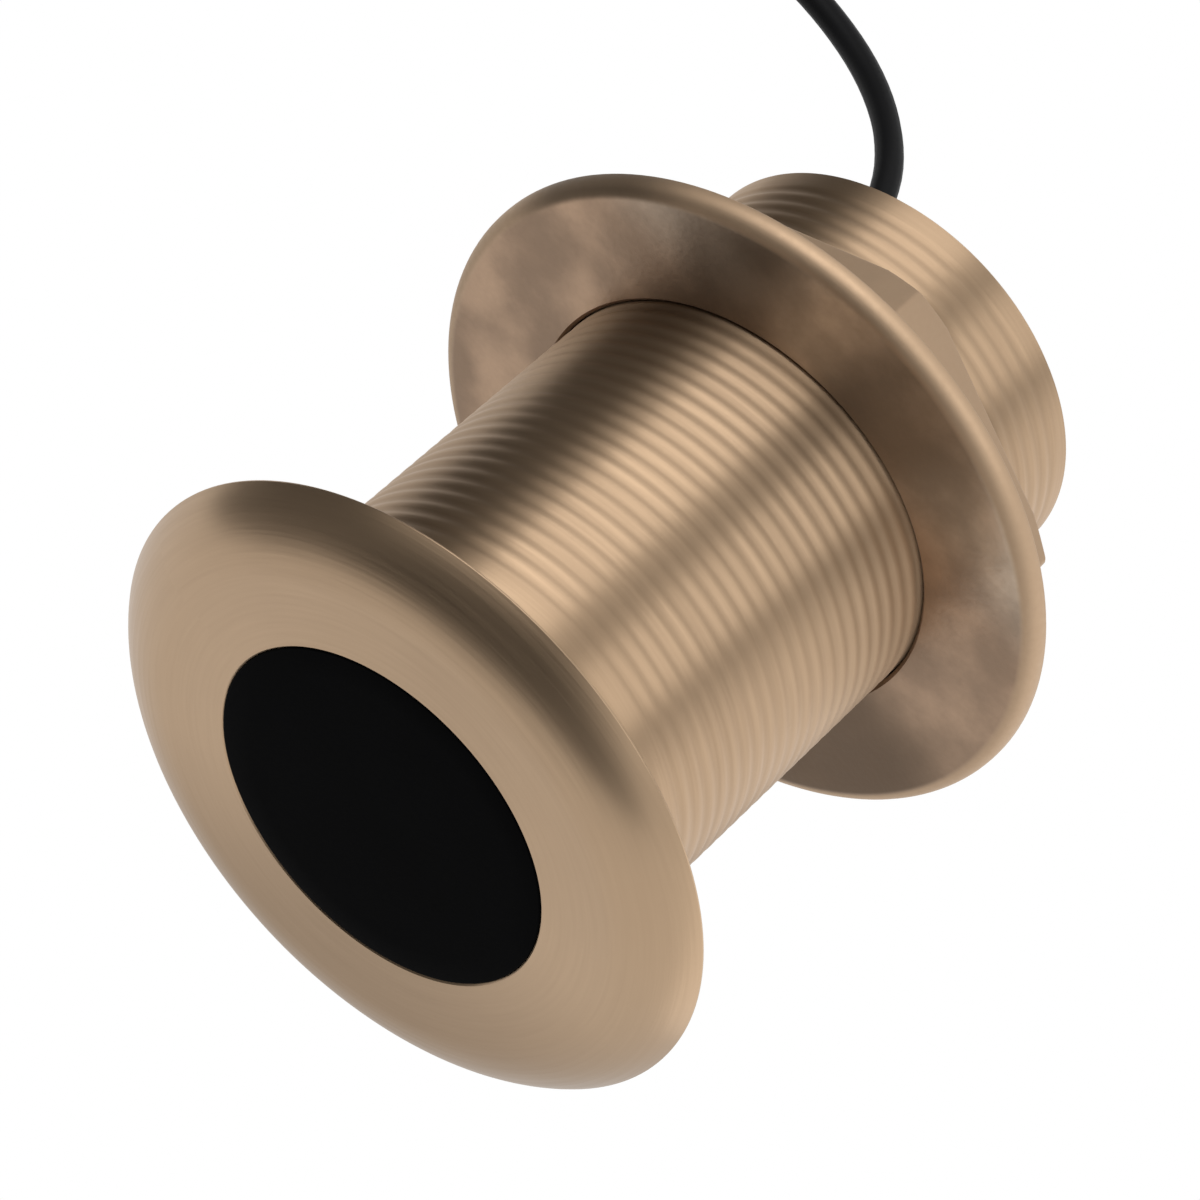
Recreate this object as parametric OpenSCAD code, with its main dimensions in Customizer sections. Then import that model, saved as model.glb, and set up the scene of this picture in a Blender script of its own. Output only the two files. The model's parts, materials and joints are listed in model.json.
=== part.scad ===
// Bronze through-hull sonar transducer with its hull nut, cable and plug.
// The acoustic face looks down and rests on z = 0. The threaded stem rises along +Z.

/* [Flange] */
// Outside diameter of the flange
flange_d = 112.8; // [104:0.1:124]
// Diameter of the flat part of the face
face_flat_d = 86; // [78:0.5:96]
// Height at which the domed edge ends
edge_rise = 6.9; // [5:0.1:10]
// Straight land between the domed edge and the flange's back
rim_land = 0.45; // [0.2:0.05:2]
// Fillet between the flange's back and the stem
root_fillet = 1.2; // [0.4:0.1:3]

/* [Stem] */
// Outside diameter of the stem over its thread
stem_d = 76.2; // [74:0.1:80]
// Height of the stem's end above the face
stem_h = 133; // [126:0.1:150]
// Bevel round the stem's end
stem_bevel = 0.6; // [0.4:0.1:2.5]
// Wall of the stem round the bore that holds the element and the electronics
stem_wall = 5.6; // [4.5:0.1:6.5]
// Thickness of the lip that holds the window in
lip_h = 5; // [3:0.1:6.5]
// Width of that lip
lip_w = 1.3; // [1:0.1:4]

/* [Hull nut] */
// Height of the nut's clamping face
nut_z = 90; // [40:0.5:105]
// Diameter of the nut's disc
nut_disc_d = 119.4; // [112:0.1:130]
// Thickness of the nut's disc
nut_disc_t = 4; // [3.5:0.1:7]
// Rounding of the disc's edge on the clamping side
nut_edge_r = 3; // [1:0.1:3.4]
// Wall between the nut's bore and the hexagon's flats
nut_wall = 4.95; // [3.5:0.05:8]
// Height of the hexagon above the disc
nut_hex_h = 16.5; // [12:0.5:24]
// Turn of the hexagon about the stem
nut_hex_turn = 25; // [0:1:59]
// Drop of the bevel at the hexagon's corners
nut_corner_drop = 2; // [1:0.1:3]
// Countersink at both ends of the nut's bore
nut_countersink = 0.6; // [0.4:0.1:2.5]
// Radial play between the nut's bore and the stem
thread_play = 0.25; // [0.1:0.05:0.5]

/* [Acoustic element] */
// Thickness of the window behind the lip
window_seat = 4; // [3:0.1:8]
// Wall of the cup round the ceramic and its sleeve
cup_wall = 4.85; // [4.2:0.05:8]
// Thickness of the ceramic disc
ceramic_t = 10; // [6:0.1:14]
// Thickness of the soft sleeve round the ceramic
sleeve_t = 2.5; // [1.5:0.1:3]
// Thickness of the pad behind the ceramic
backing_t = 6; // [3:0.1:10]
// Thickness of the cup's end wall
cup_end_t = 2.5; // [1.5:0.1:5]
// Diameter of the temperature bead
bead_d = 2.8; // [2:0.1:3.2]
// Length of the temperature bead
bead_l = 6.5; // [5:0.1:9]
// Diameter of the element's lead wires
element_lead_d = 1.2; // [0.8:0.1:2]
// Distance of each lead wire from the axis
element_lead_at = 10; // [6:0.5:16]

/* [Electronics] */
// Height of the posts that carry the board
post_h = 18; // [10:0.5:30]
// Diameter of the posts
post_d = 5; // [3:0.1:7]
// Distance of the posts from the board's edge
post_inset = 9.2; // [8:0.1:12]
// Gap between the circuit board and the bore
board_gap = 1.3; // [0.5:0.1:3]
// Thickness of the circuit board
board_t = 1.6; // [0.8:0.1:2.4]
// Outside diameter of the transformer's ring core
core_d = 22; // [18:0.5:26]
// Hole of the ring core
core_hole_d = 10; // [8:0.5:12]
// Height of the ring core
core_h = 8; // [5:0.5:12]
// Thickness of the winding round the core
winding_t = 1; // [0.5:0.1:2]
// Length of a tuning capacitor
capacitor_l = 13; // [10:0.5:16]
// Width of a tuning capacitor
capacitor_w = 5; // [3:0.5:6]
// Height of a tuning capacitor
capacitor_h = 10; // [6:0.5:14]
// Height of the board's turret terminals
terminal_h = 4; // [2:0.5:8]
// Depth of the resin's top below the stem's end
potting_recess = 1.5; // [0.5:0.1:4]

/* [Cable] */
// Diameter of the cable
cable_d = 5.2; // [4.6:0.1:5.6]
// Diameter of one insulated core
core_wire_d = 1.4; // [1:0.1:1.5]
// Length of the crimp ring on the screen
ferrule_l = 8; // [5:0.5:12]
// Wall of the crimp ring beyond the cable
ferrule_wall = 0.6; // [0.4:0.1:1.2]
// Widest diameter of the strain relief above the resin
relief_d = 12; // [10:0.1:16]
// Wall of both strain reliefs at their tips
tip_wall = 1.2; // [0.8:0.1:1.6]
// Depth of the strain relief's root in the resin
relief_root = 6.8; // [4:0.1:12]
// Diameter of the coil at the middle of its turns
coil_mid_d = 90; // [80:1:94]
// Turns side by side in the coil, and also its layers
coil_turns = 6; // [4:1:7]
// Thickness of the straps round the coil
tie_t = 0.8; // [0.5:0.1:1.5]
// Width of the straps
tie_w = 8; // [5:0.5:14]

/* [Plug] */
// Length of the plug's tapered boot
boot_l = 22; // [16:0.5:30]
// Step from the boot out to the barrel
boot_step = 1.4; // [0.8:0.1:2]
// Diameter of the plug's barrel
barrel_d = 15.4; // [15:0.1:17]
// Length of the barrel behind the locking ring
barrel_l = 12; // [8:0.5:18]
// Diameter of the neck that the locking ring turns on
neck_d = 12; // [11:0.1:13]
// Outside diameter of the locking ring
collar_d = 18.8; // [18.4:0.1:22]
// Length of the locking ring
collar_l = 17.7; // [15:0.1:24]
// Wall of the locking ring at its mouth
collar_wall = 1.5; // [1.4:0.1:2]
// Diameter of the contact carrier
insert_d = 9.2; // [8.6:0.1:10]
// Diameter of one contact socket
contact_d = 1.8; // [1.4:0.1:2]

/* [Hidden] */
$fn = 96;
eps = 0.01;

// Play left between pieces that are set into each other
fit = 0.05;
// Play between the plug's turning ring and what it turns on or lies on
turn_play = 0.3;

// Colours
bronze = [0.69, 0.56, 0.42];
resin_black = [0.02, 0.02, 0.025];
jacket_black = [0.03, 0.03, 0.03];
copper = [0.72, 0.45, 0.2];

// Housing
stem_r = stem_d / 2;
bore_r = stem_r - stem_wall;
window_r = bore_r - lip_w;
flange_r = flange_d / 2;
face_flat_r = face_flat_d / 2;
flange_h = edge_rise + rim_land;
// Radius of the domed edge, tangent to the flat face
edge_run = flange_r - face_flat_r;
dome_r = (edge_run * edge_run + edge_rise * edge_rise) / (2 * edge_rise);

// Hull nut
nut_bore_r = stem_r + thread_play;
nut_top = nut_z + nut_disc_t + nut_hex_h;
hex_corner_r = (nut_bore_r + nut_wall) / cos(30);
corner_bevel_angle = 30;
corner_bevel_run = nut_corner_drop / tan(corner_bevel_angle);

// Heights of the stack behind the window
window_top = lip_h + window_seat;
ceramic_top = window_top + ceramic_t;
backing_top = ceramic_top + backing_t;
cup_top = backing_top + cup_end_t;
board_z = cup_top + post_h;
board_top = board_z + board_t;
potting_top = stem_h - potting_recess;

// Radii of the stack behind the window
cup_out_r = bore_r - fit;
cup_in_r = cup_out_r - cup_wall;
sleeve_out_r = cup_in_r - fit;
sleeve_in_r = sleeve_out_r - sleeve_t;
ceramic_r = sleeve_in_r - fit;
board_r = bore_r - board_gap;
post_at = board_r - post_inset;
bead_at = (cup_in_r + cup_out_r) / 2;
bead_turn = 200;
bead_z = window_top - bead_l / 2;
bead_lead_d = 0.6;
bead_lead_gap = 1;
bead_hole_r = bead_lead_gap / 2 + bead_lead_d / 2 + fit;
post_turns = [30, 150, 270];

// Places on the board
transformer_at = [9, -3];
capacitor_at = [-22, -16];
capacitor_gap = 2;
capacitor_step = capacitor_w + capacitor_gap;

// Cable exit, off the stem's axis
exit_xy = [-18, 10];
exit_z = 150;
relief_z = potting_top - relief_root;
core_gap = 1.6;
core_steps = [-0.5, 0.5];
ferrule_hole_r = core_gap / 2 * sqrt(2) + core_wire_d / 2 + fit;
ferrule_r = cable_d / 2 + ferrule_wall;
relief_r = relief_d / 2;
relief_tip_r = cable_d / 2 + tip_wall;
relief_flange_w = 2;
relief_flange_r = relief_r + relief_flange_w;
relief_flange_t = 3;
// Straight part of the strain relief above the resin
relief_straight = 2;
groove_w = 1.6;
groove_depth = 0.7;
groove_pitch = 3.6;
groove_count = 3;

// Route of the free cable from the strain relief down to the coil
lead_route = [
    [-18, 10, 150], [-18, 10, 155], [-20, 11, 164], [-25, 13, 176], [-33, 17, 187], [-44, 22, 196],
    [-58, 27, 202], [-73, 31, 204], [-90, 34, 203], [-106, 35, 198], [-121, 35, 189], [-133, 34, 176],
    [-141, 33, 159], [-146, 32, 139], [-148, 31, 116], [-149, 31, 93], [-149, 31, 71],
    [-149, 31, 50], [-151, 32, 31], [-157, 35, 16], [-167, 40, 6], [-179, 46, 3],
    [-190, 51, 3], [-200, 56, 3.4]
];
// Route from the coil's top layer to the plug
tail_route = [
    [-260, 44.5, 30], [-267, 36.5, 31], [-270.5, 27.5, 34], [-271, 18, 38], [-268.5, 9, 41],
    [-266.5, 4.5, 42], [-264, 0, 42.3]
];
tube_sides = 10;

// Coil
coil_at = [-226, 4];
turn_gap = 0.1;
turn_pitch = cable_d + turn_gap;
coil_side = coil_turns * turn_pitch;
coil_in_r = coil_mid_d / 2 - coil_side / 2;
coil_out_r = coil_mid_d / 2 + coil_side / 2;
coil_top = tie_t + coil_side;
coil_corner_r = cable_d / 2;
tie_turns = [100, 300];
// A strap is flat and the coil is round, so it stands off by the coil's rise over its width
tie_in_x = sqrt(coil_in_r * coil_in_r - tie_w * tie_w / 4) - fit;
tie_out_x = coil_out_r + fit;

// Plug, along its own axis from the cable end
tail_end = tail_route[len(tail_route) - 1];
plug_at = [tail_end.x, tail_end.y, coil_top + collar_d / 2 + turn_play];
plug_heading = -59;
boot_tip_r = cable_d / 2 + tip_wall;
barrel_r = barrel_d / 2;
boot_r = barrel_r - boot_step;
boot_groove_z = 2.2;
neck_r = neck_d / 2;
shoulder_z = boot_l + barrel_l;
collar_z = shoulder_z + turn_play;
collar_end = collar_z + collar_l;
collar_lip_t = 2.7;
collar_mouth_r = collar_d / 2 - collar_wall;
keeper_z = collar_z + collar_lip_t + turn_play;
keeper_t = 1.5;
keeper_w = 1;
keeper_r = neck_r + keeper_w;
// The neck ends inside the locking ring's mouth
mouth_depth = 4;
neck_end = collar_end - mouth_depth;
insert_r = insert_d / 2;
insert_l = 12;
insert_z = collar_end - insert_l;
contact_r = contact_d / 2;
contact_wall = 0.4;
contact_hole_r = contact_r - contact_wall;
contact_l = 10;
contact_ring_r = 2.8;
contact_turns = [for (i = [0:5]) i * 60];
seal_wire_r = 0.6;
seal_z = keeper_z + keeper_t + seal_wire_r;
flute_count = 12;
flute_r = 0.9;
barrel_groove_count = 3;
barrel_groove_pitch = 3;

// A point between b and c on the smooth curve through a, b, c and d
function between(a, b, c, d, t) =
    0.5 * (2 * b + (c - a) * t + (2 * a - 5 * b + 4 * c - d) * t * t + (3 * b - a - 3 * c + d) * t * t * t);

// The route with one point added halfway along each step
function smooth_route(p) = [
    for (i = [0:len(p) - 2], t = [0, 0.5])
        between(p[max(i - 1, 0)], p[i], p[i + 1], p[min(i + 2, len(p) - 1)], t),
    p[len(p) - 1]
];

function unit(v) = v / norm(v);

// Direction of the route at point i
function heading(p, i) = unit(p[min(i + 1, len(p) - 1)] - p[max(i - 1, 0)]);

// Sideways vector at point i, carried along from the start so that the tube does not twist
function sideways(p, i, v) = unit(v - (v * heading(p, i)) * heading(p, i));
function all_sideways(p, v, i = 0) =
    i == len(p) ? [] : let (s = sideways(p, i, v)) concat([s], all_sideways(p, s, i + 1));

// One closed tube of radius r along the route p
module tube(p, r) {
    side = all_sideways(p, [0, 1, 0.1]);
    rings = [
        for (i = [0:len(p) - 1], k = [0:tube_sides - 1])
            let (a = 360 * k / tube_sides, up = cross(heading(p, i), side[i]))
                p[i] + r * (cos(a) * side[i] + sin(a) * up)
    ];
    walls = [
        for (i = [0:len(p) - 2], k = [0:tube_sides - 1])
            let (n = (k + 1) % tube_sides, low = i * tube_sides, high = low + tube_sides)
                [low + k, high + k, high + n, low + n]
    ];
    first = [for (k = [0:tube_sides - 1]) k];
    last = [for (k = [tube_sides - 1:-1:0]) (len(p) - 1) * tube_sides + k];
    polyhedron(points = rings, faces = concat(walls, [first, last]), convexity = 4);
}

module at_exit() {
    translate([exit_xy.x, exit_xy.y, 0]) children();
}

module on_plug() {
    translate(plug_at) rotate([0, 90, plug_heading]) children();
}

module ring(r_out, r_in, h) {
    difference() {
        cylinder(r = r_out, h = h);
        translate([0, 0, -eps]) cylinder(r = r_in, h = h + 2 * eps);
    }
}

// Outline of the housing right of its axis: domed flange, filleted root, bevelled stem
module housing_outline() {
    square([face_flat_r, flange_h]);
    intersection() {
        translate([face_flat_r, dome_r]) circle(r = dome_r, $fn = 180);
        translate([face_flat_r - eps, 0]) square([edge_run + eps, flange_h]);
    }
    polygon([
        [0, 0], [stem_r, 0], [stem_r, stem_h - stem_bevel], [stem_r - stem_bevel, stem_h], [0, stem_h]
    ]);
    translate([stem_r - eps, flange_h - eps])
        difference() {
            square(root_fillet + eps);
            translate([root_fillet + eps, root_fillet + eps]) circle(r = root_fillet);
        }
}

module housing() {
    color(bronze)
        rotate_extrude()
            difference() {
                housing_outline();
                translate([-eps, -eps]) square([window_r + eps, lip_h + 2 * eps]);
                translate([-eps, lip_h]) square([bore_r + eps, stem_h]);
            }
}

// Outline of the nut's disc, rounded on its clamping side
module nut_disc_outline() {
    r = nut_disc_d / 2;
    square([r - nut_edge_r, nut_disc_t]);
    translate([r - nut_edge_r, nut_edge_r]) circle(r = nut_edge_r);
    translate([0, nut_edge_r]) square([r, nut_disc_t - nut_edge_r]);
}

// Body of revolution whose cone takes the hexagon's corners off
module nut_bevel_outline() {
    far = 2 * corner_bevel_run;
    drop = far * tan(corner_bevel_angle);
    inner = hex_corner_r - corner_bevel_run;
    top = nut_top - nut_z;
    polygon([[0, 0], [inner + far, 0], [inner + far, top - drop], [inner, top], [0, top]]);
}

module nut_bore() {
    h = nut_top - nut_z;
    wide = nut_bore_r + nut_countersink;
    translate([0, 0, -eps]) cylinder(r = nut_bore_r, h = h + 2 * eps);
    translate([0, 0, -eps]) cylinder(r1 = wide + eps, r2 = nut_bore_r, h = nut_countersink + eps);
    translate([0, 0, h - nut_countersink])
        cylinder(r1 = nut_bore_r, r2 = wide + eps, h = nut_countersink + eps);
}

module hull_nut() {
    color(bronze)
        translate([0, 0, nut_z])
            difference() {
                union() {
                    rotate_extrude() intersection() {
                        nut_disc_outline();
                        square([nut_disc_d, nut_disc_t]);
                    }
                    intersection() {
                        rotate(nut_hex_turn)
                            linear_extrude(nut_top - nut_z) circle(r = hex_corner_r, $fn = 6);
                        rotate_extrude() nut_bevel_outline();
                    }
                }
                nut_bore();
            }
}

module at_bead() {
    rotate(bead_turn) translate([bead_at, 0, 0]) children();
}

module acoustic_window() {
    color(resin_black)
        difference() {
            union() {
                cylinder(r = window_r - fit, h = lip_h);
                translate([0, 0, lip_h]) cylinder(r = bore_r - fit, h = window_seat);
            }
            at_bead() translate([0, 0, bead_z]) cylinder(r = bead_d / 2 + fit, h = bead_l);
        }
}

module ceramic_element() {
    color([0.85, 0.82, 0.72]) translate([0, 0, window_top]) cylinder(r = ceramic_r, h = ceramic_t);
}

module isolation_sleeve() {
    color([0.6, 0.43, 0.28]) translate([0, 0, window_top]) ring(sleeve_out_r, sleeve_in_r, ceramic_t);
}

module at_element_leads() {
    for (side = [-1, 1]) translate([side * element_lead_at, 0, 0]) children();
}

module backing_pad() {
    color([0.6, 0.43, 0.28])
        translate([0, 0, ceramic_top])
            difference() {
                cylinder(r = sleeve_out_r, h = backing_t);
                at_element_leads()
                    translate([0, 0, -eps]) cylinder(d = element_lead_d + 2 * fit, h = backing_t + 2 * eps);
            }
}

module element_cup() {
    color([0.25, 0.27, 0.3]) {
        difference() {
            translate([0, 0, window_top]) cylinder(r = cup_out_r, h = cup_top - window_top);
            translate([0, 0, window_top - eps]) cylinder(r = cup_in_r, h = backing_top - window_top + eps);
            at_element_leads() translate([0, 0, backing_top - eps])
                cylinder(d = element_lead_d + 2 * fit, h = cup_end_t + 2 * eps);
            at_bead() translate([0, 0, bead_z]) cylinder(r = bead_d / 2 + fit, h = bead_l);
            at_bead() translate([0, 0, bead_z]) cylinder(r = bead_hole_r, h = cup_top - bead_z + eps);
        }
        for (turn = post_turns)
            rotate(turn) translate([post_at, 0, cup_top - eps]) cylinder(d = post_d, h = post_h + eps);
    }
}

module thermistor() {
    color([0.1, 0.25, 0.15]) at_bead() translate([0, 0, bead_z]) cylinder(d = bead_d, h = bead_l);
}

module thermistor_leads() {
    foot = bead_z + bead_l;
    color(copper)
        at_bead()
            for (side = [-0.5, 0.5])
                translate([0, side * bead_lead_gap, foot]) cylinder(d = bead_lead_d, h = board_z - foot);
}

module element_leads() {
    color(copper)
        at_element_leads()
            translate([0, 0, ceramic_top]) cylinder(d = element_lead_d, h = board_z - ceramic_top);
}

module circuit_board() {
    color([0.05, 0.3, 0.15]) translate([0, 0, board_z]) cylinder(r = board_r, h = board_t);
}

module at_transformer() {
    translate([transformer_at.x, transformer_at.y, board_top]) children();
}

module transformer_core() {
    color([0.2, 0.2, 0.22])
        at_transformer() translate([0, 0, winding_t]) ring(core_d / 2, core_hole_d / 2, core_h);
}

module transformer_winding() {
    color(copper)
        at_transformer()
            difference() {
                ring(core_d / 2 + winding_t, core_hole_d / 2 - winding_t, core_h + 2 * winding_t);
                translate([0, 0, winding_t]) ring(core_d / 2, core_hole_d / 2, core_h);
            }
}

module tuning_capacitors() {
    color([0.55, 0.2, 0.12])
        for (i = [0, 1])
            translate([capacitor_at.x, capacitor_at.y + i * capacitor_step, board_top])
                cube([capacitor_l, capacitor_w, capacitor_h]);
}

module at_cores() {
    at_exit() for (i = core_steps, j = core_steps) translate([i * core_gap, j * core_gap, 0]) children();
}

module board_terminals() {
    color([0.8, 0.7, 0.35]) at_cores() translate([0, 0, board_top]) cylinder(d = core_wire_d, h = terminal_h);
}

module cable_cores() {
    foot = board_top + terminal_h;
    color([0.75, 0.75, 0.72])
        at_cores() translate([0, 0, foot]) cylinder(d = core_wire_d, h = relief_z - foot);
}

module shield_ferrule() {
    color([0.7, 0.7, 0.72])
        at_exit() translate([0, 0, relief_z - ferrule_l]) ring(ferrule_r, ferrule_hole_r, ferrule_l);
}

// Outline of the strain relief: root flange in the resin, grooved taper above it
module relief_outline() {
    top = exit_z - relief_z;
    difference() {
        polygon([
            [0, 0], [relief_flange_r, 0], [relief_flange_r, relief_flange_t], [relief_r, relief_flange_t],
            [relief_r, relief_root + relief_straight], [relief_tip_r, top], [0, top]
        ]);
        for (i = [0:groove_count - 1])
            translate([relief_tip_r - groove_depth + (groove_count - 1 - i) * groove_depth / 2,
                top - groove_pitch * (groove_count - i)])
                square([relief_r, groove_w]);
    }
}

module strain_relief() {
    color(jacket_black) at_exit() translate([0, 0, relief_z]) rotate_extrude() relief_outline();
}

// What the resin flows round inside the stem
module potted_pieces() {
    element_cup();
    thermistor_leads();
    element_leads();
    circuit_board();
    at_transformer() ring(core_d / 2 + winding_t, core_hole_d / 2 - winding_t, core_h + 2 * winding_t);
    tuning_capacitors();
    board_terminals();
    cable_cores();
    shield_ferrule();
    strain_relief();
}

module potting_compound() {
    color([0.06, 0.06, 0.06])
        difference() {
            translate([0, 0, cup_top]) cylinder(r = bore_r - fit, h = potting_top - cup_top);
            potted_pieces();
        }
}

module cable() {
    color(jacket_black) tube(smooth_route(lead_route), cable_d / 2);
}

module cable_tail() {
    color(jacket_black) tube(smooth_route(tail_route), cable_d / 2);
}

module at_coil() {
    translate([coil_at.x, coil_at.y, 0]) children();
}

// Section of the coil, rounded by the outer turns
module coil_section() {
    c = coil_corner_r;
    translate([c, 0]) square([coil_side - 2 * c, coil_side]);
    translate([0, c]) square([coil_side, coil_side - 2 * c]);
    for (x = [c, coil_side - c], y = [c, coil_side - c])
        translate([x, y]) circle(r = c);
}

module cable_coil() {
    color(jacket_black)
        at_coil() translate([0, 0, tie_t]) rotate_extrude() translate([coil_in_r, 0]) coil_section();
}

module coil_ties() {
    color([0.12, 0.12, 0.12])
        at_coil()
            for (turn = tie_turns)
                rotate([90, 0, turn])
                    translate([0, 0, -tie_w / 2])
                        linear_extrude(tie_w)
                            difference() {
                                translate([tie_in_x - tie_t, 0])
                                    square([tie_out_x - tie_in_x + 2 * tie_t, coil_top + tie_t]);
                                translate([tie_in_x, tie_t]) square([tie_out_x - tie_in_x, coil_side]);
                            }
}

module plug_boot() {
    color(jacket_black)
        on_plug()
            rotate_extrude()
                difference() {
                    polygon([[0, 0], [boot_tip_r, 0], [boot_r, boot_l], [0, boot_l]]);
                    for (i = [0:groove_count - 1])
                        translate([boot_tip_r + (i - 1) * groove_depth / 2, boot_groove_z + i * groove_pitch])
                            square([boot_r, groove_w]);
                }
}

module plug_body() {
    color([0.08, 0.08, 0.09])
        on_plug()
            difference() {
                union() {
                    translate([0, 0, boot_l]) cylinder(r = barrel_r, h = barrel_l);
                    translate([0, 0, shoulder_z - eps]) cylinder(r = neck_r, h = neck_end - shoulder_z + eps);
                    translate([0, 0, keeper_z]) cylinder(r = keeper_r, h = keeper_t);
                }
                translate([0, 0, insert_z]) cylinder(r = insert_r + fit, h = insert_l);
                for (i = [1:barrel_groove_count])
                    translate([0, 0, boot_l + i * barrel_groove_pitch - groove_w / 2])
                        ring(barrel_r + groove_depth, barrel_r - groove_depth, groove_w);
            }
}

module plug_collar() {
    color([0.1, 0.1, 0.11])
        on_plug()
            translate([0, 0, collar_z])
                difference() {
                    cylinder(d = collar_d, h = collar_l);
                    translate([0, 0, -eps]) cylinder(r = neck_r + turn_play, h = collar_l + 2 * eps);
                    translate([0, 0, collar_lip_t]) cylinder(r = collar_mouth_r, h = collar_l);
                    for (i = [0:flute_count - 1])
                        rotate(i * 360 / flute_count)
                            translate([collar_d / 2 + flute_r / 2, 0, collar_lip_t])
                                cylinder(r = flute_r, h = collar_l, $fn = 32);
                }
}

module at_contacts() {
    for (turn = contact_turns) rotate(turn) translate([contact_ring_r, 0, collar_end - contact_l]) children();
}

module plug_insert() {
    color([0.3, 0.3, 0.32])
        on_plug()
            difference() {
                translate([0, 0, insert_z]) cylinder(r = insert_r, h = insert_l);
                at_contacts() cylinder(r = contact_r + fit, h = contact_l + eps);
            }
}

module plug_contacts() {
    color([0.85, 0.7, 0.3])
        on_plug()
            at_contacts()
                difference() {
                    cylinder(r = contact_r, h = contact_l);
                    translate([0, 0, contact_l / 2]) cylinder(r = contact_hole_r, h = contact_l);
                }
}

module plug_seal() {
    color([0.05, 0.05, 0.05])
        on_plug()
            translate([0, 0, seal_z])
                rotate_extrude() translate([neck_r + fit + seal_wire_r, 0]) circle(r = seal_wire_r, $fn = 32);
}

housing();
hull_nut();
acoustic_window();
ceramic_element();
isolation_sleeve();
backing_pad();
element_cup();
thermistor();
thermistor_leads();
element_leads();
circuit_board();
transformer_core();
transformer_winding();
tuning_capacitors();
board_terminals();
cable_cores();
shield_ferrule();
potting_compound();
strain_relief();
cable();
cable_coil();
cable_tail();
coil_ties();
plug_boot();
plug_body();
plug_collar();
plug_insert();
plug_contacts();
plug_seal();
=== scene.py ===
"""Dressed model of a bronze through-hull sonar transducer with its hull nut, coiled cable and plug.

Lengths are in metres and angles in degrees, unless a comment says otherwise.
"""
import json
import math

import bmesh
import bpy
from mathutils import Matrix, Quaternion, Vector, noise


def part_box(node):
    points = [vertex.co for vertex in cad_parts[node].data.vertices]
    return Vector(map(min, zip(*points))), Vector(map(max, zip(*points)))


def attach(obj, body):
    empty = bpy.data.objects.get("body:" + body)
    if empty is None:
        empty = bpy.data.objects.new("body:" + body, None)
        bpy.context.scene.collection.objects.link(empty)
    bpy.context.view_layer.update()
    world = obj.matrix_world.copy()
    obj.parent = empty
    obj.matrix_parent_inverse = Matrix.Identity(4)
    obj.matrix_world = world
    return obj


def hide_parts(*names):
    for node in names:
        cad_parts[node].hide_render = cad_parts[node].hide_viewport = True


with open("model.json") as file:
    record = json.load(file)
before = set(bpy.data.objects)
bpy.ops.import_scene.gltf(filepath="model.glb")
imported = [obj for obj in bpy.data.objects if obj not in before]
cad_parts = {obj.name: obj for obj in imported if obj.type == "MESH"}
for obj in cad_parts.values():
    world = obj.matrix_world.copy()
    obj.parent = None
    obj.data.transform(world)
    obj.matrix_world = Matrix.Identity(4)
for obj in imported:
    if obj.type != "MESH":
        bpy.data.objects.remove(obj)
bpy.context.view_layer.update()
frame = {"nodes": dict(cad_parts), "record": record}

# Camera of the photograph, with its lens and sensor in millimetres
CAMERA_AT = (0.0, -0.65112, -0.40656)
CAMERA_YAW = 0.2
CAMERA_PITCH = 35.523
CAMERA_ROLL = 48.127
CAMERA_LENS = 150.66
CAMERA_SENSOR = 36.0

# Cable: the free stretch, the coil and the run up to the plug
CABLE_D = 0.0052
CABLE_EXIT = (-0.018, 0.010, 0.150)
CABLE_ROUND_STEPS = 4
LEAD_ROUTE = [
    (-0.018, 0.010, 0.150), (-0.018, 0.010, 0.155), (-0.020, 0.011, 0.164), (-0.025, 0.013, 0.176),
    (-0.033, 0.017, 0.187), (-0.044, 0.022, 0.196), (-0.058, 0.027, 0.202), (-0.073, 0.031, 0.204),
    (-0.090, 0.034, 0.203), (-0.106, 0.035, 0.198), (-0.121, 0.035, 0.189), (-0.133, 0.034, 0.176),
    (-0.141, 0.033, 0.159), (-0.146, 0.032, 0.139), (-0.148, 0.031, 0.116), (-0.149, 0.031, 0.093),
    (-0.149, 0.031, 0.071), (-0.149, 0.031, 0.050), (-0.151, 0.032, 0.031), (-0.157, 0.035, 0.016),
    (-0.167, 0.040, 0.006), (-0.179, 0.046, 0.003), (-0.190, 0.051, 0.003), (-0.200, 0.056, 0.0034),
]
TAIL_ROUTE = [
    (-0.260, 0.0445, 0.030), (-0.267, 0.0365, 0.031), (-0.2705, 0.0275, 0.034), (-0.271, 0.018, 0.038),
    (-0.2685, 0.009, 0.041), (-0.2665, 0.0045, 0.042), (-0.264, 0.0, 0.0423),
]
ROUTE_STEPS = 5
COIL_AT = (-0.226, 0.004)
COIL_MID_R = 0.045
COIL_SIDE_TURNS = 6
COIL_TURNS = 34.183
COIL_START = 64.0
COIL_POINTS = 64
COIL_STEP_SHARE = 50.0 / 360.0
TURN_PITCH = 0.0053

# Straps round the coil, with the places in their section as share of thickness and side of width
TIE_T = 0.0008
TIE_W = 0.008
TIE_TURNS = (100.0, 300.0)
STRAP_CORNER_STEPS = 6
STRAP_SECTION = [
    (0.0, -0.92), (0.3, -1.0), (0.7, -1.0), (1.0, -0.92),
    (1.0, 0.92), (0.7, 1.0), (0.3, 1.0), (0.0, 0.92),
]
LAP_FOOT = 0.2
LAP_SHARE = 0.6
LAP_STEPS = 12
LAP_THICKNESS = 0.85
LAP_END = 0.35

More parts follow.
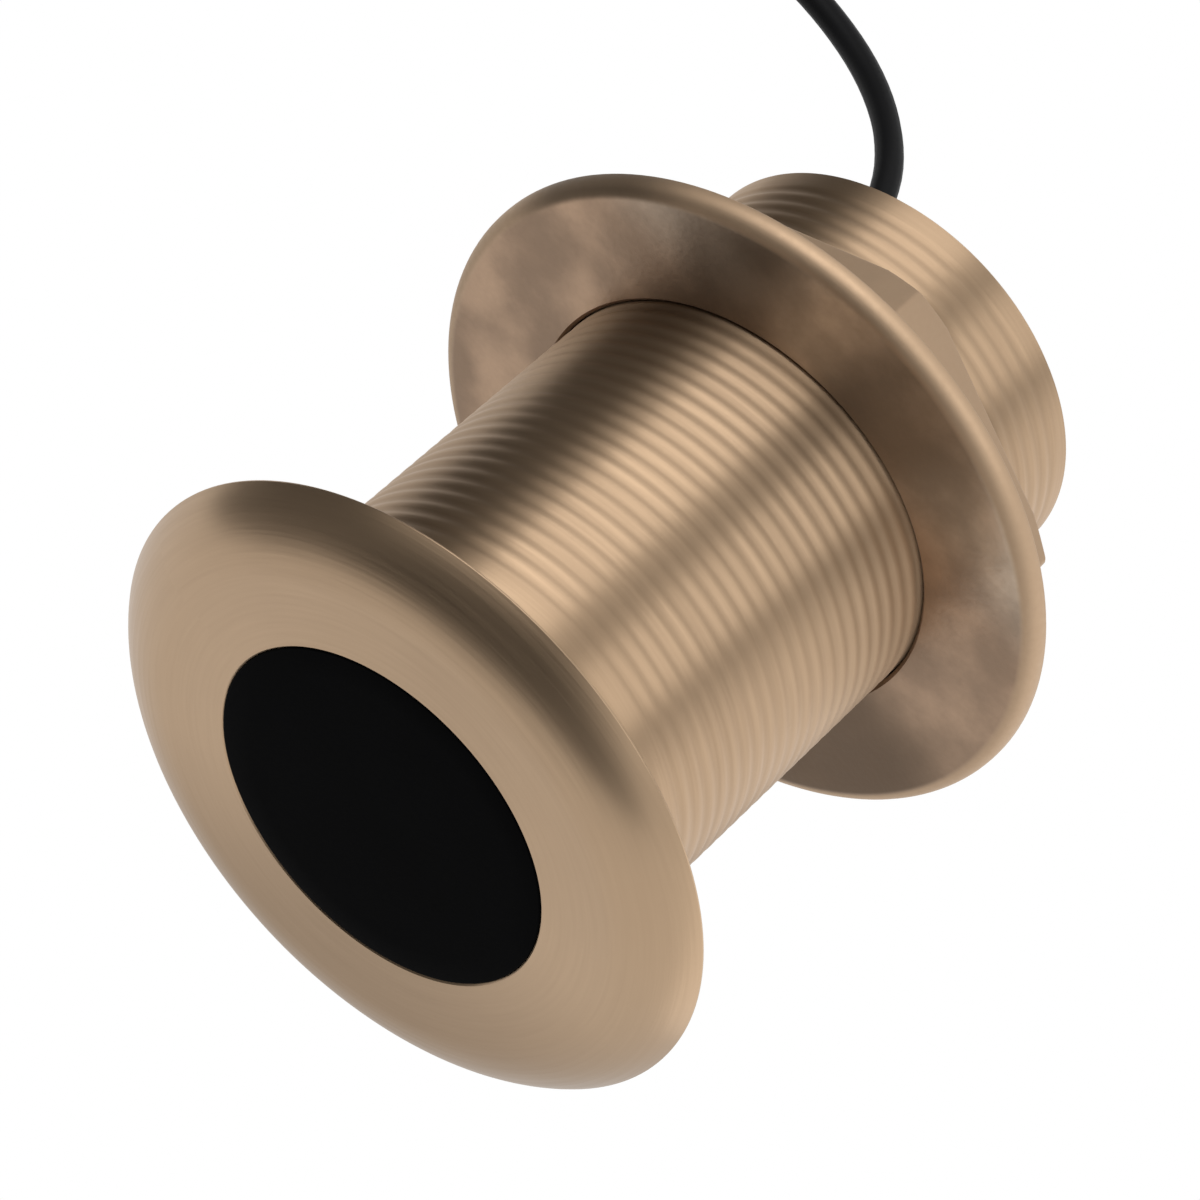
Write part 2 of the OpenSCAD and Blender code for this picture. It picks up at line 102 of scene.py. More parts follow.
# Housing
COLUMNS = 192
BACK_ANGLE = 90.0
SHARP_ANGLE = 28.0
FACE_FLAT_R = 0.043
FACE_RINGS = 4
EDGE_RISE = 0.0069
DOME_STEPS = 16
FLANGE_H = 0.00735
RIM_ROUND = 0.0003
RIM_STEPS = 4
ROOT_FILLET = 0.0012
ROOT_STEPS = 6
STEM_R = 0.0381
STEM_BEVEL = 0.0006
BACK_RING_R = STEM_R + 3.0 * ROOT_FILLET
BORE_R = 0.0325
LIP_H = 0.005
WINDOW_R = 0.0312
WINDOW_BEVEL = 0.0003
THREAD_START = 0.0225
THREAD_PITCH = 0.003175
THREAD_DEPTH = 0.00025
THREAD_ROWS = 10
GROOVE_HALF = 0.5
RUN_OUT_TURN = 0.15

# Hull nut
NUT_BORE_R = 0.03835
NUT_COUNTERSINK = 0.0006
NUT_DISC_T = 0.004
NUT_FACE_RINGS = 12
NUT_EDGE_R = 0.003
NUT_EDGE_STEPS = 10
NUT_BACK_ROUND = 0.0005
NUT_BACK_STEPS = 4
HEX_SIDES = 6
HEX_STEP = 360.0 / HEX_SIDES
HEX_HALF = HEX_STEP / 2.0
NUT_FLAT_R = 0.0433
NUT_CORNER_TURN = 25.0
NUT_CORNER_ROUND = 0.0012
NUT_CORNER_COLUMNS = [0.45, 0.9, 1.4]
NUT_COLUMN_STEP = 2.0
NUT_CORNER_DROP = 0.002
NUT_BEVEL_ANGLE = 30.0
NUT_FOOT_FILLET = 0.0012
NUT_FOOT_STEPS = 5
NUT_TOP_ROUND = 0.0003
NUT_GROOVE_DEPTH = 0.0009
CAST_WAVE = 0.00007
CAST_WAVE_SCALE = 120.0

# Window, potting and strain relief
WINDOW_SEAT_Z = 0.009
WINDOW_RINGS = 6
WINDOW_EDGE_STEPS = 4
FIT = 0.00005
POTTING_RINGS = 60
POTTING_RIPPLE = 0.00012
POTTING_RIPPLE_SCALE = 90.0
POTTING_CREEP = 0.0006
POTTING_CREEP_W = 0.0016
RELIEF_FLANGE_R = 0.008
RELIEF_FLANGE_T = 0.003
RELIEF_STRAIGHT = 0.002
RELIEF_R = 0.006
TIP_R = 0.0038
TIP_FACE_INSET = 0.0005
TIP_EDGE_INSET = 0.00015
TIP_EDGE_RISE = 0.0001
RIB_PITCH = 0.0036
RIB_GROOVE_W = 0.0018
RIB_GROOVE_DEPTH = 0.0007
RIB_COUNT = 3
RIB_STEPS = 72

# Plug
PLUG_AT = (-0.264, 0.0, 0.0423)
PLUG_HEADING = -59.0
PLUG_COLUMNS = 96
BOOT_L = 0.022
BOOT_R = 0.0063
BOOT_GROOVE_Z = 0.003
BARREL_R = 0.0077
BARREL_L = 0.012
BARREL_STEPS = 60
BARREL_GROOVE_STEP = 0.003
BARREL_ROUND = 0.0006
BARREL_FOOT_ANGLE = -60.0
BARREL_FOOT_STEPS = 3
BARREL_ROUND_STEPS = 4
NECK_R = 0.006
NECK_END = 0.048
KEEPER_Z = 0.0373
KEEPER_T = 0.0015
KEEPER_R = 0.007
INSERT_HOLE_R = 0.00465
INSERT_Z = 0.040
COLLAR_Z = 0.0343
COLLAR_L = 0.0177
COLLAR_R = 0.0094
COLLAR_HOLE_R = 0.0063
COLLAR_MOUTH_R = 0.0079
COLLAR_MOUTH_BEVEL = 0.0003
COLLAR_LIP_T = 0.0027
COLLAR_ROUND = 0.0006
COLLAR_ROUND_STEPS = 5
FLUTES = 12
FLUTE_DEPTH = 0.00045
FLUTE_HALF = 5.5
FLUTE_RUN_OUT = 0.0004
FLUTE_COLUMNS = [-15.0, -11.5, -8.0, -5.5, -4.1, -2.7, -1.4, 0.0, 1.4, 2.7, 4.1, 5.5, 8.0, 11.5]

# Bronze of the housing, with the heights above the flange where the stem's finish starts and is whole
BRONZE_DARK = (0.405, 0.285, 0.185, 1.0)
BRONZE_LIGHT = (0.475, 0.335, 0.215, 1.0)
BRONZE_MARK = (0.34, 0.235, 0.15, 1.0)
# Tone of the painted shade on one side of the flange
BRONZE_PAINTED_SHADE = (0.275, 0.192, 0.122, 1.0)
# Tone of the painted shade in the thread's groove
BRONZE_GROOVE_PAINTED_SHADE = (0.13, 0.085, 0.05, 1.0)
LATHE_SCALE = 1500.0
LATHE_TURN = 0.0012
STEM_LOOK_FROM = 0.001
STEM_LOOK_FULL = 0.003
# Painted shade on the flange: the side it darkens towards, where it starts and is whole, and its cover
SHADE_TOWARDS = (0.5, 0.87)
SHADE_FROM = 0.005
SHADE_FULL = 0.042
SHADE_COVER = 0.75
GROOVE_SHADE = 0.1
GROOVE_EDGE = 0.1 * THREAD_DEPTH
THREAD_LOOK_RUN = 0.001
STEM_ROUGHER = 0.1

# Bronze of the nut: clamping face, with the y where its front tones start and are whole, rim, hexagon
CAST_DARK_BACK = (0.265, 0.18, 0.12, 1.0)
CAST_DARK_FRONT = (0.33, 0.268, 0.207, 1.0)
CAST_LIGHT_BACK = (0.46, 0.312, 0.208, 1.0)
CAST_LIGHT_FRONT = (0.60, 0.485, 0.375, 1.0)
CAST_GRAIN = (0.22, 0.155, 0.108, 1.0)
# Tone of the painted shadow and dark reflection of the stem on the clamping face
CAST_PAINTED_SHADOW = (0.11, 0.073, 0.046, 1.0)
RIM_TONE = (0.43, 0.305, 0.20, 1.0)
# Tone of the painted dark reflection on the rim
RIM_REFLECTION_TONE = (0.13, 0.092, 0.06, 1.0)
HEXAGON_TONE = (0.40, 0.283, 0.186, 1.0)
CAST_FRONT_FROM = -0.026
CAST_FRONT_FULL = -0.044
RIM_FROM = 0.0568
RIM_FULL = 0.058
HEXAGON_LOOK_RUN = 0.0006
RIM_ROUGHER = 0.2
HEXAGON_ROUGHER = 0.22

# Painted shadow and dark reflection patches of the nut: middle, half-widths in radians where it is whole
# and where it ends, and cover
FACE_PAINTED_SHADOWS = [(30.0, 0.25, 0.68, 0.9), (-82.0, 0.12, 0.34, 0.48), (-123.0, 0.1, 0.34, 0.64)]
# Painted dark reflection on the rim, in the same columns
RIM_PAINTED_REFLECTION = (-152.0, 0.12, 0.4, 0.8)

# Other materials: shares of their tone in dark and light spots, and spread of their roughness
COMPOUND_DARK = (0.7, 0.7, 0.75)
COMPOUND_LIGHT = (1.5, 1.5, 1.65)
COMPOUND_SPREAD = 0.08
SPECKLE_DARK = 0.75
SPECKLE_SPREAD = 0.06

# Stage
WHITE = (1.0, 1.0, 1.0, 1.0)
WORLD_STRENGTH = 1.0
WORLD_DIFFUSE_STRENGTH = 0.75
FLOOR_HALF = 6.0
FLOOR_DROP = 0.0003
FLOOR_TONE = (0.86, 0.86, 0.86, 1.0)
STEM_MIDDLE_Z = 0.06

# Lamps: turn from the front and rise as seen from the stem, distance, width, height, and power in watts
LAMPS = {
    "lamp_left": (-30.0, 5.0, 0.9, 0.66, 0.5, 3.5),
    "lamp_right": (27.0, 5.0, 0.9, 0.5, 0.5, 1.5),
    "lamp_side": (100.0, 15.0, 0.9, 1.15, 1.4, 2.7),
}

# Dark cards: turn, rise, distance, width, height and paint, and one card that lies below
CARD_PAINTS = {"card_grey": 0.16, "card_black": 0.05}
CARDS = {
    "card_left": (-85.0, 20.0, 1.0, 0.8, 2.0, "card_grey"),
    "card_low_left": (-97.0, -32.0, 1.0, 1.1, 0.9, "card_grey"),
    "card_middle": (3.0, 50.0, 0.9, 0.03, 1.4, "card_black"),
    "card_right": (53.0, 25.0, 0.9, 0.04, 1.8, "card_black"),
}
CARD_BELOW_AT = (-0.59, -0.49, -0.9)
CARD_BELOW_W = 2.18
CARD_BELOW_L = 1.7
CARD_BELOW_SPIN = -28.0


def smoothstep(t):
    """Eases from 0 to 1 as t goes from 0 to 1."""
    t = min(max(t, 0.0), 1.0)
    return t * t * (3.0 - 2.0 * t)


def dip(off):
    """Depth of a rounded groove, from 1 in its middle to 0 at its edge, where off is 1."""
    return math.cos(0.5 * math.pi * min(off, 1.0)) ** 2


def arc(centre_r, centre_z, radius, start, end, steps):
    """Points of a round stretch of an outline."""
    points = []
    for i in range(steps + 1):
        angle = math.radians(start + (end - start) * i / steps)
        points.append((centre_r + radius * math.cos(angle), centre_z + radius * math.sin(angle)))
    return points


# Camera and cable

def make_camera():
    """The camera of the photograph, which looks up at the face from below."""
    data = bpy.data.cameras.new("camera")
    data.lens = CAMERA_LENS
    data.sensor_width = CAMERA_SENSOR
    camera = bpy.data.objects.new("camera", data)
    turn = Matrix.Rotation(math.radians(CAMERA_YAW), 4, "Z")
    turn = turn @ Matrix.Rotation(math.radians(90.0 + CAMERA_PITCH), 4, "X")
    turn = turn @ Matrix.Rotation(math.radians(CAMERA_ROLL), 4, "Z")
    camera.matrix_world = Matrix.Translation(CAMERA_AT) @ turn
    bpy.context.collection.objects.link(camera)
    bpy.context.scene.camera = camera


def between(a, b, c, d, t):
    """A point between b and c on the smooth curve through a, b, c and d."""
    cubic = 3.0 * b - a - 3.0 * c + d
    square = 2.0 * a - 5.0 * b + 4.0 * c - d
    return 0.5 * (2.0 * b + (c - a) * t + square * t * t + cubic * t * t * t)


def smooth_route(route):
    """The route with points added along each step."""
    points = [Vector(p) for p in route]
    last = len(points) - 1
    line = []
    for i in range(last):
        before, after = points[max(i - 1, 0)], points[min(i + 2, last)]
        for k in range(ROUTE_STEPS):
            line.append(between(before, points[i], points[i + 1], after, k / ROUTE_STEPS))
    line.append(points[last])
    return line


def turn_column(turn):
    """Place of a turn in its layer: the first layer is wound inwards, the next outwards, and so on."""
    layer, step = divmod(turn, COIL_SIDE_TURNS)
    return COIL_SIDE_TURNS - 1 - step if layer % 2 == 0 else step


def coil_point(turns):
    """The cable's centre after that many turns of the coil."""
    turn = int(turns)
    share = turns - turn
    layer, step = divmod(turn, COIL_SIDE_TURNS)
    column = turn_column(turn)
    if step > 0:
        previous = turn_column(turn - 1)
        column = previous + (column - previous) * smoothstep(share / COIL_STEP_SHARE)
    if step == COIL_SIDE_TURNS - 1:
        layer += smoothstep((share - 1.0 + COIL_STEP_SHARE) / COIL_STEP_SHARE)
    radius = COIL_MID_R + (column - (COIL_SIDE_TURNS - 1) / 2.0) * TURN_PITCH
    height = TIE_T + (layer + 0.5) * TURN_PITCH
    angle = math.radians(COIL_START) + 2.0 * math.pi * turns
    return Vector((COIL_AT[0] + radius * math.cos(angle), COIL_AT[1] + radius * math.sin(angle), height))


def make_cable(material):
    """The whole cable on one line: free stretch, coil and the run up to the plug."""
    count = int(COIL_TURNS * COIL_POINTS)
    coil = [coil_point(COIL_TURNS * (i + 1) / count) for i in range(count - 1)]
    line = smooth_route(LEAD_ROUTE) + coil + smooth_route(TAIL_ROUTE)
    data = bpy.data.curves.new("cable_line", "CURVE")
    data.dimensions = "3D"
    data.bevel_depth = CABLE_D / 2.0
    data.bevel_resolution = CABLE_ROUND_STEPS
    data.use_fill_caps = True
    spline = data.splines.new("POLY")
    spline.points.add(len(line) - 1)
    for point, place in zip(spline.points, line):
        point.co = (*place, 1.0)
    spline.use_smooth = True
    cable = bpy.data.objects.new("cable_line", data)
    bpy.context.collection.objects.link(cable)
    data.materials.append(material)
    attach(cable, "transducer")
    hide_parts("cable", "cable_coil", "cable_tail")


# Meshes

class Skin:
    """Vertices and faces of one piece, in rings about the Z axis where the piece is turned."""

    def __init__(self, angles):
        self.angles = angles
        self.verts = []
        self.faces = []

    def ring(self, radius, height):
        """Adds a ring, whose radius and height are numbers or functions of the angle."""
        first = len(self.verts)
        for angle in self.angles:
            r = radius(angle) if callable(radius) else radius
            z = height(angle) if callable(height) else height
            self.verts.append((r * math.cos(angle), r * math.sin(angle), z))
        return list(range(first, len(self.verts)))

    def join(self, low, high):
        """Faces between two rings."""
        for i in range(len(low)):
            j = (i + 1) % len(low)
            self.faces.append((low[i], low[j], high[j], high[i]))

    def chain(self, rings):
        """Faces between each ring and the next."""
        for low, high in zip(rings, rings[1:]):
            self.join(low, high)

    def cap(self, ring):
        """One face that closes a ring."""
        self.faces.append(tuple(ring))

    def thread(self, below, above, crest_r, depth, start, turns):
        """A right-handed helical groove between two plain rings."""
        rows = self.thread_rows(crest_r, depth, start, turns)
        last, seam = len(rows) - 1, len(self.angles) - 1
        for k in range(last):
            for i in range(seam):
                self.faces.append((rows[k][i], rows[k][i + 1], rows[k + 1][i + 1], rows[k + 1][i]))
            ahead = k + THREAD_ROWS
            if ahead + 1 <= last:
                self.faces.append((rows[k][seam], rows[ahead][0], rows[ahead + 1][0], rows[k + 1][seam]))
        for i in range(seam):
            self.faces.append((below[i], below[i + 1], rows[0][i + 1], rows[0][i]))
            self.faces.append((rows[last][i], rows[last][i + 1], above[i + 1], above[i]))
        low_seam = [below[0]] + [rows[k][0] for k in range(THREAD_ROWS + 1)] + [rows[0][seam]]
        for a, b in zip(low_seam, low_seam[1:]):
            self.faces.append((below[seam], a, b))
        last_turn = rows[last - THREAD_ROWS:]
        high_seam = [rows[last][0]] + [row[seam] for row in last_turn] + [above[seam]]
        for a, b in zip(high_seam, high_seam[1:]):
            self.faces.append((above[0], a, b))

    def thread_rows(self, crest_r, depth, start, turns):
        """Adds the vertices of a thread, in rows that each rise by one pitch in a turn."""
        rows = []
        for k in range(turns * THREAD_ROWS + 1):
            groove = dip(abs((k % THREAD_ROWS) / THREAD_ROWS - 0.5) / GROOVE_HALF)
            first = len(self.verts)
            for angle in self.angles:
                share = (angle - self.angles[0]) / (2.0 * math.pi)
                along = k // THREAD_ROWS + share
                fade = smoothstep(along / RUN_OUT_TURN) * smoothstep((turns - along) / RUN_OUT_TURN)
                r = crest_r - depth * groove * fade
                z = start + THREAD_PITCH * (k / THREAD_ROWS + share)
                self.verts.append((r * math.cos(angle), r * math.sin(angle), z))
            rows.append(list(range(first, len(self.verts))))
        return rows


def even_angles(count):
    """Angles of evenly spaced columns, in radians, from the side away from the camera."""
    start = math.radians(BACK_ANGLE)
    return [start + 2.0 * math.pi * i / count for i in range(count)]


def capped(outline, columns):
    """A skin with a ring at each point of an outline, closed at both ends."""
    skin = Skin(even_angles(columns))
    rings = [skin.ring(r, z) for r, z in outline]
    skin.chain(rings)
    skin.cap(rings[0])
    skin.cap(rings[-1])
    return skin


def add_piece(name, skin, material, body, replaced, place=None):
    """Makes an object of a skin, puts it in place, attaches it to the body it moves with and hides the
    parts it replaces.
    """
    mesh = bpy.data.meshes.new(name)
    mesh.from_pydata(skin.verts, [], skin.faces)
    if place is not None:
        mesh.transform(place)
    tidy = bmesh.new()
    tidy.from_mesh(mesh)
    bmesh.ops.recalc_face_normals(tidy, faces=tidy.faces)
    tidy.to_mesh(mesh)
    tidy.free()
    mesh.polygons.foreach_set("use_smooth", [True] * len(mesh.polygons))
    mesh.set_sharp_from_angle(angle=math.radians(SHARP_ANGLE))
    mesh.materials.append(material)
    piece = bpy.data.objects.new(name, mesh)
    bpy.context.collection.objects.link(piece)
    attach(piece, body)
    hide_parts(*replaced)
    return piece


def make_housing(material):
    """Turned and threaded bronze: domed flange, shank, thread, bevelled end and bore."""
    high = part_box("housing")[1]
    flange_r, stem_top = high.x, high.z
    run = flange_r - FACE_FLAT_R
    dome_r = (run * run + EDGE_RISE * EDGE_RISE) / (2.0 * EDGE_RISE)
    dome_end = math.degrees(math.asin(run / dome_r))
    foot = [(BORE_R, LIP_H), (WINDOW_R, LIP_H)]
    foot += [(WINDOW_R, WINDOW_BEVEL), (WINDOW_R + WINDOW_BEVEL, 0.0)]
    foot += [(WINDOW_R + (FACE_FLAT_R - WINDOW_R) * i / FACE_RINGS, 0.0) for i in range(1, FACE_RINGS)]
    foot += arc(FACE_FLAT_R, dome_r, dome_r, -90.0, dome_end - 90.0, DOME_STEPS)
    foot += arc(flange_r - RIM_ROUND, FLANGE_H - RIM_ROUND, RIM_ROUND, 0.0, 90.0, RIM_STEPS)
    foot += [(BACK_RING_R, FLANGE_H)]
    foot += arc(STEM_R + ROOT_FILLET, FLANGE_H + ROOT_FILLET, ROOT_FILLET, 270.0, 180.0, ROOT_STEPS)
    foot += [(STEM_R, THREAD_START - THREAD_PITCH / THREAD_ROWS)]
    land = stem_top - STEM_BEVEL
    bevel_r = STEM_R - STEM_BEVEL
    head = [(STEM_R, land - RIM_ROUND), (STEM_R - RIM_ROUND, land)]
    head += [(bevel_r, stem_top - RIM_ROUND), (bevel_r - RIM_ROUND, stem_top)]
    head += [(BORE_R + WINDOW_BEVEL, stem_top), (BORE_R, stem_top - WINDOW_BEVEL)]
    skin = Skin(even_angles(COLUMNS))
    foot_rings = [skin.ring(r, z) for r, z in foot]
    head_rings = [skin.ring(r, z) for r, z in head]
    skin.chain(foot_rings)
    skin.chain(head_rings + [foot_rings[0]])
    turns = int((land - THREAD_START) / THREAD_PITCH) - 1
    skin.thread(foot_rings[-1], head_rings[0], STEM_R, THREAD_DEPTH, THREAD_START, turns)
    add_piece("housing_skin", skin, material, "transducer", ["housing"])


def hexagon_r(angle):
    """Radius of the nut's hexagon, with rounded corners, in one direction."""
    off = (math.degrees(angle) - NUT_CORNER_TURN + HEX_HALF) % HEX_STEP - HEX_HALF
    centre = (NUT_FLAT_R - NUT_CORNER_ROUND) / math.cos(math.radians(HEX_HALF))
    half = NUT_CORNER_ROUND / 2.0
    round_end = math.degrees(math.atan2(half, centre + half * math.sqrt(3.0)))
    if abs(off) >= round_end:
        return NUT_FLAT_R / math.cos(math.radians(HEX_HALF - abs(off)))
    turn = math.radians(off)
    return centre * math.cos(turn) + math.sqrt(NUT_CORNER_ROUND ** 2 - (centre * math.sin(turn)) ** 2)


def nut_angles():
    """Columns of the nut in radians, closer together at the hexagon's corners."""
    wide = [NUT_COLUMN_STEP * i for i in range(1, int(HEX_HALF / NUT_COLUMN_STEP))]
    offsets = [side * x for side in (-1.0, 1.0) for x in NUT_CORNER_COLUMNS + wide]
    offsets = sorted([-HEX_HALF, 0.0] + offsets)
    turns = [NUT_CORNER_TURN + HEX_STEP * (k + 1) for k in range(HEX_SIDES)]
    return [math.radians(turn + x) for turn in turns for x in offsets]


def cast_height(radius, height):
    """Height of a ring on a cast face, which is slightly uneven."""
    def wavy(angle):
        spot = Vector((radius * math.cos(angle), radius * math.sin(angle), height))
        return height + CAST_WAVE * noise.noise(spot * CAST_WAVE_SCALE)
    return wavy


def make_nut(material):
    """Cast bronze nut: disc with a rounded edge, bevelled hexagon and threaded bore."""
    low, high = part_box("hull_nut")
    foot_z, top_z, disc_r = low.z, high.z, (high.x - low.x) / 2.0
    back_z = foot_z + NUT_DISC_T
    face_end = disc_r - NUT_EDGE_R
    rise = math.tan(math.radians(NUT_BEVEL_ANGLE))
    corner_r = NUT_FLAT_R / math.cos(math.radians(HEX_HALF))
    bevel_r = corner_r - NUT_CORNER_DROP / rise
    wide_r = NUT_BORE_R + NUT_COUNTERSINK

    def bevel_z(angle):
        return top_z - max(hexagon_r(angle) - bevel_r, NUT_TOP_ROUND) * rise

    def top_r(angle):
        return min(bevel_r, hexagon_r(angle) - NUT_TOP_ROUND)

    skin = Skin(nut_angles())
    rings = [skin.ring(NUT_BORE_R, foot_z + NUT_COUNTERSINK), skin.ring(wide_r, foot_z)]
    for i in range(1, NUT_FACE_RINGS):
        r = wide_r + (face_end - wide_r) * i / NUT_FACE_RINGS
        rings.append(skin.ring(r, cast_height(r, foot_z)))
    edge = arc(face_end, foot_z + NUT_EDGE_R, NUT_EDGE_R, -90.0, 0.0, NUT_EDGE_STEPS)
    round_r, round_z = disc_r - NUT_BACK_ROUND, back_z - NUT_BACK_ROUND
    edge += arc(round_r, round_z, NUT_BACK_ROUND, 0.0, 90.0, NUT_BACK_STEPS)
    rings += [skin.ring(r, z) for r, z in edge]
    rings.append(skin.ring(face_end, cast_height(face_end, back_z)))
    fillet = arc(NUT_FOOT_FILLET, NUT_FOOT_FILLET, NUT_FOOT_FILLET, 270.0, 180.0, NUT_FOOT_STEPS)
    for step, rise_z in fillet:
        rings.append(skin.ring(lambda a, s=step: hexagon_r(a) + s, back_z + rise_z))
    rings.append(skin.ring(hexagon_r, lambda a: bevel_z(a) - NUT_TOP_ROUND))
    rings.append(skin.ring(lambda a: hexagon_r(a) - NUT_TOP_ROUND / 2.0, bevel_z))
    rings.append(skin.ring(top_r, top_z))
    rings.append(skin.ring(wide_r, top_z))
    rings.append(skin.ring(NUT_BORE_R, top_z - NUT_COUNTERSINK))
    skin.chain(rings)
    bore = top_z - foot_z - 2.0 * NUT_COUNTERSINK
    turns = int(bore / THREAD_PITCH) - 1
    slack = (bore - (turns + 1) * THREAD_PITCH) / 2.0
    start = foot_z + NUT_COUNTERSINK + slack
    skin.thread(rings[0], rings[-1], NUT_BORE_R, -NUT_GROOVE_DEPTH, start, turns)
    add_piece("hull_nut_skin", skin, material, "hull_nut", ["hull_nut"])


def make_window(material):
    """Cast window, flush with the face, with a slightly rounded edge and its seat behind the lip."""
    face_r, seat_r = WINDOW_R - FIT, BORE_R - FIT
    outline = [(face_r * i / WINDOW_RINGS, 0.0) for i in range(1, WINDOW_RINGS)]
    outline += arc(face_r - WINDOW_BEVEL, WINDOW_BEVEL, WINDOW_BEVEL, -90.0, 0.0, WINDOW_EDGE_STEPS)
    outline += [(face_r, LIP_H), (seat_r, LIP_H), (seat_r, WINDOW_SEAT_Z)]
    skin = capped(outline, COLUMNS)
    add_piece("window_disc", skin, material, "transducer", ["acoustic_window"])


def make_potting(material):
    """Poured resin that has crept up a little at the wall and round the strain relief."""
    low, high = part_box("potting_compound")
    wall_r, exit_x, exit_y = high.x, CABLE_EXIT[0], CABLE_EXIT[1]

    def poured(radius):
        def height(angle):
            x, y = radius * math.cos(angle), radius * math.sin(angle)
            to_relief = max(math.hypot(x - exit_x, y - exit_y) - RELIEF_R, 0.0)
            gap = min(wall_r - radius, to_relief)
            ripple = POTTING_RIPPLE * noise.noise(Vector((x, y, 0.0)) * POTTING_RIPPLE_SCALE)
            return high.z + ripple + POTTING_CREEP * math.exp(-gap / POTTING_CREEP_W)
        return height

    radii = [wall_r * i / POTTING_RINGS for i in range(POTTING_RINGS, 0, -1)]
    skin = capped([(wall_r, low.z)] + [(r, poured(r)) for r in radii], COLUMNS)
    add_piece("potting_fill", skin, material, "transducer", ["potting_compound"])


def groove_depth(z, first, pitch):
    """Depth at one height of a row of rounded grooves."""
    half = RIB_GROOVE_W / 2.0
    return sum(RIB_GROOVE_DEPTH * dip(abs(z - first - k * pitch) / half) for k in range(RIB_COUNT))


def ribbed_taper(root_r, length, first_groove):
    """Outline of a tapered boot from its tip, at height 0, to its root, with rounded grooves."""
    outline = [(TIP_R - TIP_FACE_INSET, 0.0), (TIP_R - TIP_EDGE_INSET, TIP_EDGE_RISE)]
    for i in range(1, RIB_STEPS + 1):
        z = length * i / RIB_STEPS
        r = TIP_R + (root_r - TIP_R) * z / length
        outline.append((r - groove_depth(z, first_groove, RIB_PITCH), z))
    return outline


def make_relief(material):
    """Tapered boot where the cable leaves the potting."""
    low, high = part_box("strain_relief")
    potting_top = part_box("potting_compound")[1].z
    taper = ribbed_taper(RELIEF_R, high.z - potting_top - RELIEF_STRAIGHT, RIB_PITCH)
    outline = [(r, high.z - z) for r, z in taper]
    outline += [(RELIEF_R, low.z + RELIEF_FLANGE_T), (RELIEF_FLANGE_R, low.z + RELIEF_FLANGE_T)]
    outline += [(RELIEF_FLANGE_R, low.z)]
    skin = capped(outline, PLUG_COLUMNS)
    place = Matrix.Translation((CABLE_EXIT[0], CABLE_EXIT[1], 0.0))
    add_piece("relief_boot", skin, material, "transducer", ["strain_relief"], place)


def rounded_box_path(left, right, low, high, radius):
    """Closed path round the coil's section, with round corners."""
    path = arc(right - radius, high - radius, radius, 0.0, 90.0, STRAP_CORNER_STEPS)
    path += arc(left + radius, high - radius, radius, 90.0, 180.0, STRAP_CORNER_STEPS)
    path += arc(left + radius, low + radius, radius, 180.0, 270.0, STRAP_CORNER_STEPS)
    path += arc(right - radius, low + radius, radius, 270.0, 360.0, STRAP_CORNER_STEPS)
    return path


def strap(skin, inner, outer, turn, closed):
    """Adds a strap between two paths in the coil's section, turned to its place round the coil."""
    place = Matrix.Translation((*COIL_AT, 0.0)) @ Matrix.Rotation(math.radians(turn), 4, "Z")
    sides = []
    for (near_x, near_z), (far_x, far_z) in zip(inner, outer):
        near, far = Vector((near_x, 0.0, near_z)), Vector((far_x, 0.0, far_z))
        section = []
        for share, side in STRAP_SECTION:
            point = near.lerp(far, share)
            point.y = side * TIE_W / 2.0
            section.append(len(skin.verts))
            skin.verts.append(tuple(place @ point))
        sides.append(section)
    for a, b in zip(sides, sides[1:] + sides[:1] if closed else sides[1:]):
        skin.join(a, b)
    if not closed:
        skin.cap(sides[0])
        skin.cap(sides[-1])


def make_ties(material):
    """Two woven straps round the coil, each lapped over itself on the outer side."""
    side = COIL_SIDE_TURNS * TURN_PITCH
    inside = COIL_MID_R - side / 2.0
    left = math.sqrt(inside * inside - TIE_W * TIE_W / 4.0) - FIT
    right, low, high = COIL_MID_R + side / 2.0 + FIT, TIE_T, TIE_T + side
    corner = CABLE_D / 2.0
    inner = rounded_box_path(left, right, low, high, corner)
    outer = rounded_box_path(left - TIE_T, right + TIE_T, low - TIE_T, high + TIE_T, corner + TIE_T)
    lap = []
    lap_out = []
    for i in range(LAP_STEPS + 1):
        x, z = right + TIE_T, low + side * (LAP_FOOT + LAP_SHARE * i / LAP_STEPS)
        lap.append((x, z))
        lap_out.append((x + TIE_T * LAP_THICKNESS * smoothstep(min(i, LAP_STEPS - i) + LAP_END), z))
    skin = Skin([])
    for turn in TIE_TURNS:
        strap(skin, inner, outer, turn, True)
        strap(skin, lap, lap_out, turn, False)
    return add_piece("coil_straps", skin, material, "transducer", ["coil_ties"])


def plug_place():
    """Stands a piece of the plug, made along Z, in its place on the coil."""
    turn = Matrix.Rotation(math.radians(PLUG_HEADING), 4, "Z")
    return Matrix.Translation(PLUG_AT) @ (turn @ Matrix.Rotation(math.radians(90.0), 4, "Y"))


def make_plug_boot(material):
    """Tapered boot on the plug's end of the cable."""
    skin = capped(ribbed_taper(BOOT_R, BOOT_L, BOOT_GROOVE_Z), PLUG_COLUMNS)
    place = plug_place()
    return add_piece("plug_relief", skin, material, "transducer", ["plug_boot"], place)


